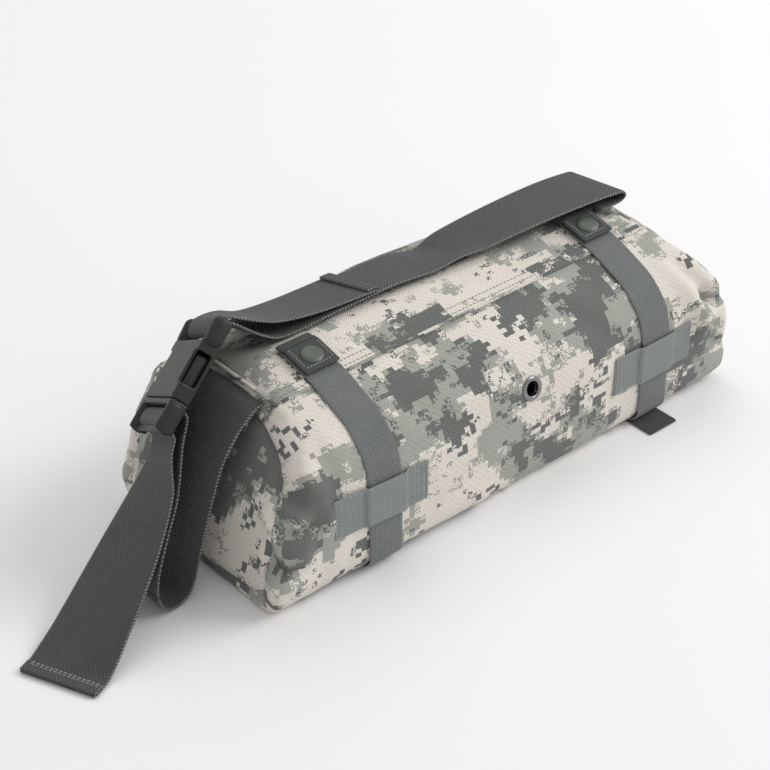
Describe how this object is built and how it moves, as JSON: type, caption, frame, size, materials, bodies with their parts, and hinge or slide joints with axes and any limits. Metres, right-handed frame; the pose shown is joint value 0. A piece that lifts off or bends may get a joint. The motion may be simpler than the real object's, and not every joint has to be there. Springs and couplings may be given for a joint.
{
  "type": "waist pack",
  "caption": "Soft camouflage waist pack lying on its front panel, with a wide belt and side-release buckle, compression straps, snap tabs, drain eyelet and a zipped lid.",
  "frame": {"origin": "centre of the front panel's face, on which the pack lies", "axes": "+X along the pack away from the buckle end, -Y out of the bottom panel, +Y out of the zipped lid, +Z out of the back panel, up as it lies"},
  "size_m": [0.5194, 0.1813, 0.1532],
  "materials": {
    "camo_fabric": "coarse coated nylon in a three-colour square-cell camouflage",
    "belt_webbing": "wide fine-twill nylon webbing with a pale twisted edge",
    "strap_webbing": "one-inch ribbed nylon webbing",
    "keeper_webbing": "one-inch grid-woven webbing, lighter than the straps",
    "tab_webbing": "smooth folded webbing with an edge stitch",
    "buckle_plastic": "satin moulded acetal",
    "snap_metal": "dull painted brass",
    "eyelet_metal": "dark oxidised steel, worn bright on the rim",
    "zip_tape": "woven zip tape",
    "zip_teeth": "coil of nylon",
    "zip_metal": "painted zinc",
    "seam_binding": "folded fabric edge"
  },
  "bodies": {
    "root": {"back_panel": "camo_fabric", "belt_anchor_right": "belt_webbing", "belt_bight": "belt_webbing", "belt_fall": "belt_webbing", "belt_hem": "belt_webbing", "belt_layer": "belt_webbing", "belt_loop": "belt_webbing", "belt_rise": "belt_webbing", "belt_run": "belt_webbing", "belt_tail": "belt_webbing", "belt_turn": "belt_webbing", "bottom_panel": "camo_fabric", "buckle_female": "buckle_plastic", "compression_strap_left": "strap_webbing", "compression_strap_right": "strap_webbing", "drain_eyelet": "eyelet_metal", "end_panel_left": "camo_fabric", "end_panel_right": "camo_fabric", "eyelet_washer": "eyelet_metal", "front_panel": "camo_fabric", "ladder_lock_left": "buckle_plastic", "ladder_lock_right": "buckle_plastic", "lid_surround": "camo_fabric", "lock_anchor_left": "strap_webbing", "lock_anchor_right": "strap_webbing", "seam_piping": "seam_binding", "snap_stud_left": "snap_metal", "snap_stud_right": "snap_metal", "strap_keeper_left": "keeper_webbing", "strap_keeper_right": "keeper_webbing", "strap_tail_left": "strap_webbing", "strap_tail_right": "strap_webbing", "tab_root_left": "tab_webbing", "tab_root_right": "tab_webbing", "tail_hem": "belt_webbing", "zip_end_stops": "zip_metal", "zip_tape_body": "zip_tape", "zip_teeth_body": "zip_teeth"},
    "lid": {"lid_panel": "camo_fabric", "zip_tape_lid": "zip_tape", "zip_teeth_lid": "zip_teeth"},
    "slider_left": {"zip_slider_left": "zip_metal"},
    "slider_right": {"zip_slider_right": "zip_metal"},
    "pull_left": {"zip_pull_left": "zip_metal"},
    "pull_right": {"zip_pull_right": "zip_metal"},
    "tab_left": {"snap_tab_left": "tab_webbing", "snap_cap_left": "snap_metal", "snap_socket_left": "snap_metal"},
    "tab_right": {"snap_tab_right": "tab_webbing", "snap_cap_right": "snap_metal", "snap_socket_right": "snap_metal"},
    "buckle_male": {"buckle_male": "buckle_plastic", "ladder_wrap": "belt_webbing"},
    "prong_near": {"buckle_prong_near": "buckle_plastic"},
    "prong_far": {"buckle_prong_far": "buckle_plastic"}
  },
  "joints": [
    {"name": "lid_hinge", "type": "hinge", "parent": "root", "child": "lid", "pos_m": [0, 0.08025, 0.0827], "axis": [1, 0, 0], "range_deg": [0, 100]},
    {"name": "zip_slide_left", "type": "slide", "parent": "lid", "child": "slider_left", "axis": [-1, 0, 0], "range_m": [0, 0.12]},
    {"name": "zip_slide_right", "type": "slide", "parent": "lid", "child": "slider_right", "axis": [1, 0, 0], "range_m": [0, 0.12]},
    {"name": "zip_pull_left_swing", "type": "hinge", "parent": "slider_left", "child": "pull_left", "pos_m": [-0.0065, 0.08585, 0.026], "axis": [0, 0, -1], "range_deg": [0, 85]},
    {"name": "zip_pull_right_swing", "type": "hinge", "parent": "slider_right", "child": "pull_right", "pos_m": [0.0065, 0.08585, 0.026], "axis": [0, 0, 1], "range_deg": [0, 85]},
    {"name": "snap_tab_left_lift", "type": "hinge", "parent": "root", "child": "tab_left", "pos_m": [-0.114, -0.0038, 0.12131], "axis": [-1, 0, 0], "range_deg": [0, 90]},
    {"name": "snap_tab_right_lift", "type": "hinge", "parent": "root", "child": "tab_right", "pos_m": [0.114, -0.0038, 0.12131], "axis": [-1, 0, 0], "range_deg": [0, 35]},
    {"name": "buckle_release", "type": "slide", "parent": "root", "child": "buckle_male", "axis": [-0.7732, -0.1853, -0.6065], "range_m": [0, 0.034]},
    {"name": "prong_near_flex", "type": "hinge", "parent": "buckle_male", "child": "prong_near", "pos_m": [-0.19513, 0.00449, 0.11583], "axis": [-0.593, 0.55, 0.588], "range_deg": [0, 8], "stiffness_Nm_per_rad": 0.5},
    {"name": "prong_far_flex", "type": "hinge", "parent": "buckle_male", "child": "prong_far", "pos_m": [-0.18511, 0.04081, 0.09196], "axis": [0.593, -0.55, -0.588], "range_deg": [0, 8], "stiffness_Nm_per_rad": 0.5}
  ]
}
